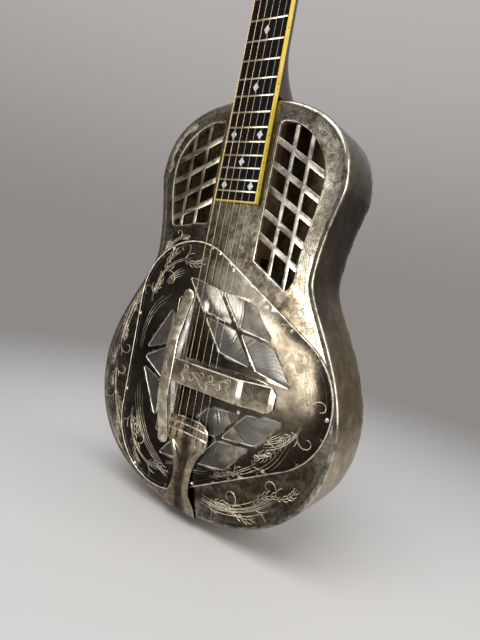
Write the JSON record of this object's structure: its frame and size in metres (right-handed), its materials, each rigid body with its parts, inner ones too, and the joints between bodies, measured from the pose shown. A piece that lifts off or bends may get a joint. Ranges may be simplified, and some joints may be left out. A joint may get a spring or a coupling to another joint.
{
  "type": "tricone resonator guitar",
  "caption": "Metal body resonator guitar with cones under a windowed coverplate, handrest, slotted headstock and geared tuners",
  "frame": {"origin": "lowest point of the body's rim, in the plane of the top plate, on the middle line: where a stand or a lap carries the guitar", "axes": "+Z along the strings to the headstock, +X to the treble side, +Y from the front to the back"},
  "size_m": [0.35, 0.1012, 0.9905],
  "materials": {
    "shell": "aged nickel silver, dark patina with tan and cream highlights",
    "plate": "engraved aged nickel silver",
    "bright": "warm worn bright metal",
    "cone": "spun",
    "gauze": "dark fine gauze",
    "neck_wood": "very dark brown, satin",
    "plain_wood": "bare maple",
    "ebony": "black, satin",
    "ivoroid": "yellowed grained plastic",
    "bone": "polished bone",
    "string": "bronze wound and plain steel wire",
    "tuner": "aged nickel plate",
    "button": "cream plastic buttons on steel worm shafts"
  },
  "bodies": {
    "guitar": {"body_back": "shell", "body_sides": "shell", "body_top": "shell", "cone_bass_lower": "cone", "cone_bass_upper": "cone", "cone_treble": "cone", "cover_screen_left": "gauze", "cover_screen_lower": "gauze", "cover_screen_upper": "gauze", "coverplate": "plate", "fingerboard": "ebony", "fingerboard_binding": "ivoroid", "grille_bass": "bright", "grille_treble": "bright", "handrest": "bright", "headstock_veneer": "ebony", "heel_cap": "ivoroid", "neck": "neck_wood", "neck_stick": "plain_wood", "nut": "bone", "prop_lower": "plain_wood", "prop_upper": "plain_wood", "resonator_well": "shell", "saddle": "plain_wood", "strap_button": "tuner", "string_1": "string", "string_2": "string", "string_3": "string", "string_4": "string", "string_5": "string", "string_6": "string", "t_bridge": "cone", "tailpiece": "bright", "tuner_plate_bass": "tuner", "tuner_plate_treble": "tuner"},
    "post_bass_1": {"post_bass_1": "tuner"},
    "knob_bass_1": {"knob_bass_1": "button"},
    "post_bass_2": {"post_bass_2": "tuner"},
    "knob_bass_2": {"knob_bass_2": "button"},
    "post_bass_3": {"post_bass_3": "tuner"},
    "knob_bass_3": {"knob_bass_3": "button"},
    "post_treble_1": {"post_treble_1": "tuner"},
    "knob_treble_1": {"knob_treble_1": "button"},
    "post_treble_2": {"post_treble_2": "tuner"},
    "knob_treble_2": {"knob_treble_2": "button"},
    "post_treble_3": {"post_treble_3": "tuner"},
    "knob_treble_3": {"knob_treble_3": "button"}
  },
  "joints": [
    {"name": "knob_bass_1_turn", "type": "hinge", "parent": "guitar", "child": "knob_bass_1", "pos_m": [-0.0368, 0.01582, 0.84498], "axis": [0, 0.9744, -0.225], "continuous": true},
    {"name": "post_bass_1_turn", "type": "hinge", "parent": "guitar", "child": "post_bass_1", "pos_m": [-0.0368, 0.01767, 0.85297], "axis": [-1, 0, 0], "continuous": true},
    {"name": "knob_bass_2_turn", "type": "hinge", "parent": "guitar", "child": "knob_bass_2", "pos_m": [-0.0368, 0.0237, 0.87909], "axis": [0, 0.9744, -0.225], "continuous": true},
    {"name": "post_bass_2_turn", "type": "hinge", "parent": "guitar", "child": "post_bass_2", "pos_m": [-0.0368, 0.02554, 0.88708], "axis": [-1, 0, 0], "continuous": true},
    {"name": "knob_bass_3_turn", "type": "hinge", "parent": "guitar", "child": "knob_bass_3", "pos_m": [-0.0368, 0.03157, 0.91319], "axis": [0, 0.9744, -0.225], "continuous": true},
    {"name": "post_bass_3_turn", "type": "hinge", "parent": "guitar", "child": "post_bass_3", "pos_m": [-0.0368, 0.03342, 0.92118], "axis": [-1, 0, 0], "continuous": true},
    {"name": "knob_treble_1_turn", "type": "hinge", "parent": "guitar", "child": "knob_treble_1", "pos_m": [0.0368, 0.01582, 0.84498], "axis": [0, 0.9744, -0.225], "continuous": true},
    {"name": "post_treble_1_turn", "type": "hinge", "parent": "guitar", "child": "post_treble_1", "pos_m": [0.0368, 0.01767, 0.85297], "axis": [1, 0, 0], "continuous": true},
    {"name": "knob_treble_2_turn", "type": "hinge", "parent": "guitar", "child": "knob_treble_2", "pos_m": [0.0368, 0.0237, 0.87909], "axis": [0, 0.9744, -0.225], "continuous": true},
    {"name": "post_treble_2_turn", "type": "hinge", "parent": "guitar", "child": "post_treble_2", "pos_m": [0.0368, 0.02554, 0.88708], "axis": [1, 0, 0], "continuous": true},
    {"name": "knob_treble_3_turn", "type": "hinge", "parent": "guitar", "child": "knob_treble_3", "pos_m": [0.0368, 0.03157, 0.91319], "axis": [0, 0.9744, -0.225], "continuous": true},
    {"name": "post_treble_3_turn", "type": "hinge", "parent": "guitar", "child": "post_treble_3", "pos_m": [0.0368, 0.03342, 0.92118], "axis": [1, 0, 0], "continuous": true}
  ],
  "couplings": [
    {"joint": "post_bass_1_turn", "follows": "knob_bass_1_turn", "ratio": 0.071429},
    {"joint": "post_bass_2_turn", "follows": "knob_bass_2_turn", "ratio": 0.071429},
    {"joint": "post_bass_3_turn", "follows": "knob_bass_3_turn", "ratio": 0.071429},
    {"joint": "post_treble_1_turn", "follows": "knob_treble_1_turn", "ratio": -0.071429},
    {"joint": "post_treble_2_turn", "follows": "knob_treble_2_turn", "ratio": -0.071429},
    {"joint": "post_treble_3_turn", "follows": "knob_treble_3_turn", "ratio": -0.071429}
  ]
}
